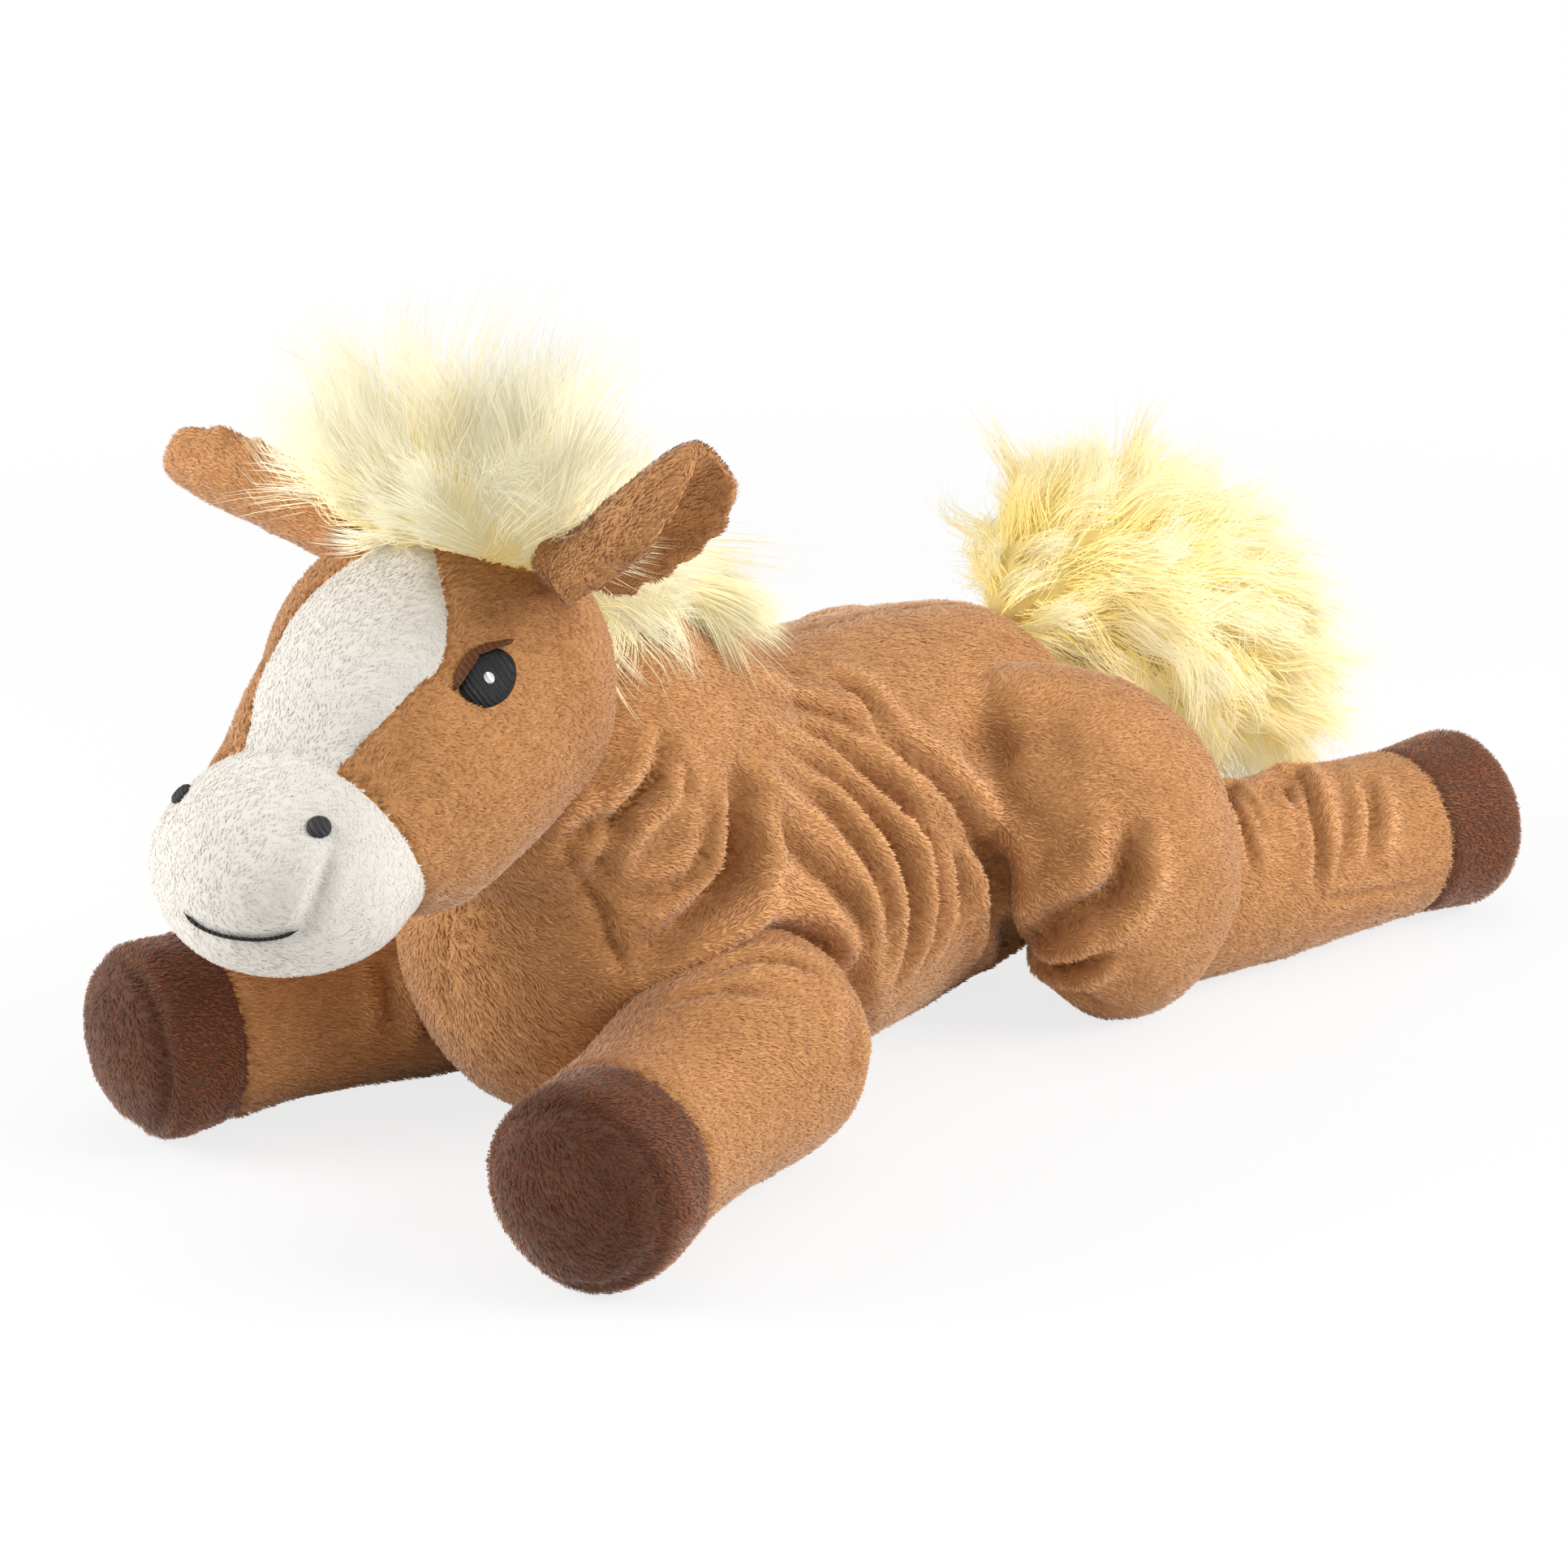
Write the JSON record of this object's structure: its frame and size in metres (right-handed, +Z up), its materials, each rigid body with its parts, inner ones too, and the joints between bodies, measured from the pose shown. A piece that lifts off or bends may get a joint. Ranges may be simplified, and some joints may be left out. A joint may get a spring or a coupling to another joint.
{
  "type": "plush horse",
  "caption": "Lying plush horse with a caramel body, cream muzzle and blaze, dark hooves, pale shaggy forelock, mane and tail, embroidered eyes and soft hinged limbs",
  "frame": {"origin": "middle of the flat patch of belly that the toy rests on", "axes": "the horse faces -Y with its left side at +X, and +Z is up"},
  "size_m": [0.1579, 0.3652, 0.1781],
  "materials": {
    "plush": "matte",
    "pale_plush": "matte",
    "hoof_plush": "matte",
    "long_fur": "matte",
    "dark_thread": "matte",
    "white_thread": "matte",
    "brown_thread": "matte",
    "filling": "matte"
  },
  "bodies": {
    "body": {"body_side_left": "plush", "body_side_right": "plush", "belly_panel": "plush", "body_filling": "filling", "haunch_left_cover": "plush", "haunch_left_filling": "filling", "haunch_right_cover": "plush", "haunch_right_filling": "filling", "mane": "long_fur"},
    "head": {"head_cover": "plush", "blaze_panel": "pale_plush", "muzzle_cover": "pale_plush", "head_filling": "filling", "forelock": "long_fur", "smile_stitch": "dark_thread", "eye_left": "dark_thread", "eye_right": "dark_thread", "eye_glint_left": "white_thread", "eye_glint_right": "white_thread", "brow_left": "brown_thread", "brow_right": "brown_thread", "nostril_left": "dark_thread", "nostril_right": "dark_thread"},
    "ear_left": {"ear_left_back": "plush", "ear_left_lining": "plush"},
    "ear_right": {"ear_right_back": "plush", "ear_right_lining": "plush"},
    "tail": {"tail": "long_fur"},
    "front_leg_left": {"front_leg_left_cover": "plush", "front_leg_left_hoof_band": "hoof_plush", "front_leg_left_hoof_sole": "hoof_plush", "front_leg_left_filling": "filling"},
    "front_leg_right": {"front_leg_right_cover": "plush", "front_leg_right_hoof_band": "hoof_plush", "front_leg_right_hoof_sole": "hoof_plush", "front_leg_right_filling": "filling"},
    "hind_leg_left": {"hind_leg_left_cover": "plush", "hind_leg_left_hoof_band": "hoof_plush", "hind_leg_left_hoof_sole": "hoof_plush", "hind_leg_left_filling": "filling"},
    "hind_leg_right": {"hind_leg_right_cover": "plush", "hind_leg_right_hoof_band": "hoof_plush", "hind_leg_right_hoof_sole": "hoof_plush", "hind_leg_right_filling": "filling"}
  },
  "joints": [
    {"name": "neck_nod", "type": "hinge", "parent": "body", "child": "head", "pos_m": [0.01, -0.099, 0.1055], "axis": [0.9744, 0.225, 0], "range_deg": [-12, 8], "stiffness_Nm_per_rad": 0.4, "springref_deg": -1.15},
    {"name": "ear_left_flop", "type": "hinge", "parent": "head", "child": "ear_left", "pos_m": [0.0351, -0.09586, 0.13249], "axis": [-0.225, 0.9744, 0], "range_deg": [0, 35], "stiffness_Nm_per_rad": 0.02},
    {"name": "ear_right_flop", "type": "hinge", "parent": "head", "child": "ear_right", "pos_m": [-0.01393, -0.10718, 0.13249], "axis": [0.225, -0.9744, 0], "range_deg": [0, 20], "stiffness_Nm_per_rad": 0.02},
    {"name": "front_leg_left_swing", "type": "hinge", "parent": "body", "child": "front_leg_left", "pos_m": [0.041, -0.0495, 0.021], "axis": [0, 0, 1], "range_deg": [0, 40], "stiffness_Nm_per_rad": 0.08},
    {"name": "front_leg_right_swing", "type": "hinge", "parent": "body", "child": "front_leg_right", "pos_m": [-0.041, -0.0625, 0.021], "axis": [0, 0, -1], "range_deg": [0, 40], "stiffness_Nm_per_rad": 0.08},
    {"name": "hind_leg_left_swing", "type": "hinge", "parent": "body", "child": "hind_leg_left", "pos_m": [0.038, 0.084, 0.021], "axis": [0, 0, -1], "range_deg": [0, 30], "stiffness_Nm_per_rad": 0.08},
    {"name": "hind_leg_right_swing", "type": "hinge", "parent": "body", "child": "hind_leg_right", "pos_m": [-0.038, 0.084, 0.021], "axis": [0, 0, 1], "range_deg": [0, 30], "stiffness_Nm_per_rad": 0.08},
    {"name": "tail_lift", "type": "hinge", "parent": "body", "child": "tail", "pos_m": [0, 0.0702, 0.08742], "axis": [1, 0, 0], "range_deg": [0, 45], "stiffness_Nm_per_rad": 0.4, "springref_deg": 1.72}
  ]
}
